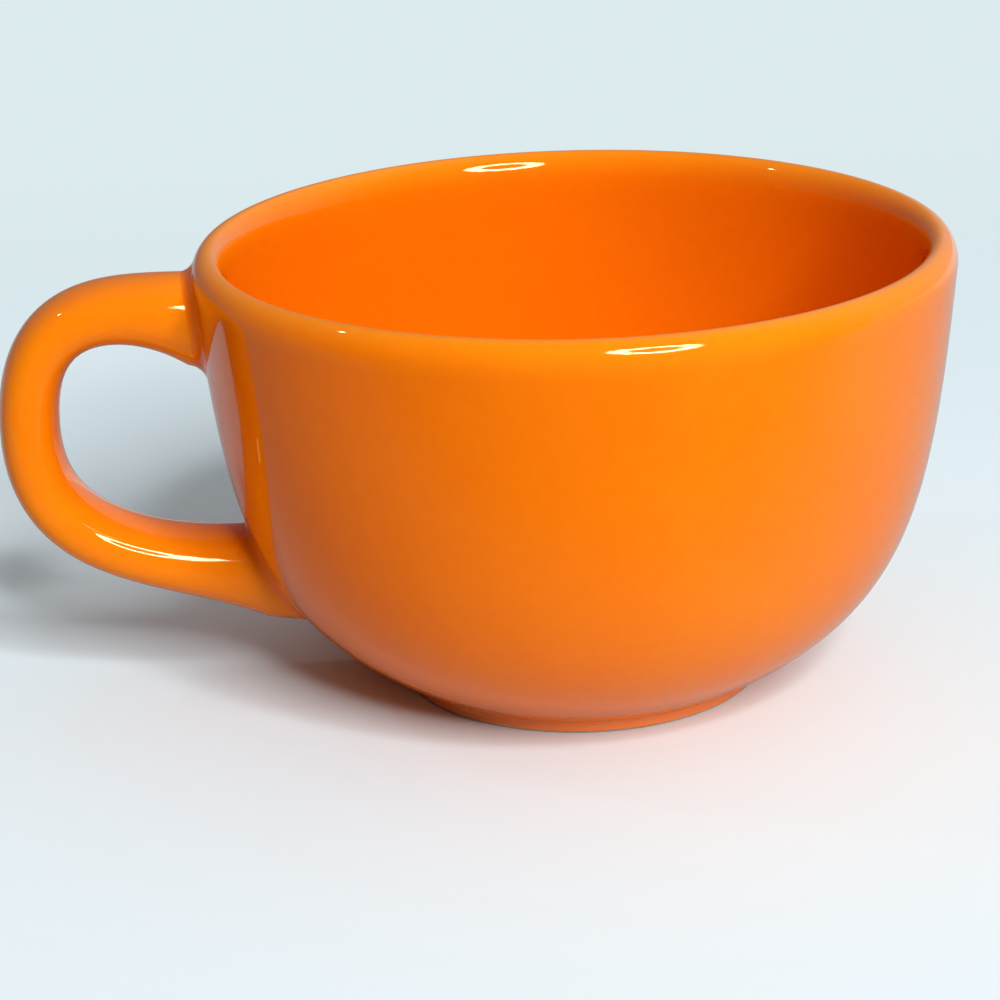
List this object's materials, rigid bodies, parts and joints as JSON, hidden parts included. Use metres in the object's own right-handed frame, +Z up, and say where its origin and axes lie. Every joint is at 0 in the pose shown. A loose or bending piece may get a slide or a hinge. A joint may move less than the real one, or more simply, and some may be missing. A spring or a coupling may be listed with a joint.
{
  "type": "handled cereal bowl",
  "caption": "Deep round glazed stoneware bowl with a thick rounded lip, a full belly on a low foot ring and a flared loop handle, for cereal or soup.",
  "frame": {"origin": "on the table plane, under the middle of the whole part, handle included", "axes": "+Z up along the bowl's axis; -X towards the handle, in the plane of the handle's loop; +Y to the far side of the picture's view"},
  "size_m": [0.1678, 0.133, 0.0802],
  "materials": {
    "orange_glaze": "high gloss orange glaze over stoneware, paler on the lip",
    "pooled_glaze": "the same orange glaze, deeper where it gathers on the slip's fillets"
  },
  "bodies": {
    "root": {"bowl_body": "orange_glaze", "loop_handle": "orange_glaze", "upper_slip_joint": "pooled_glaze", "lower_slip_joint": "pooled_glaze"}
  },
  "joints": []
}
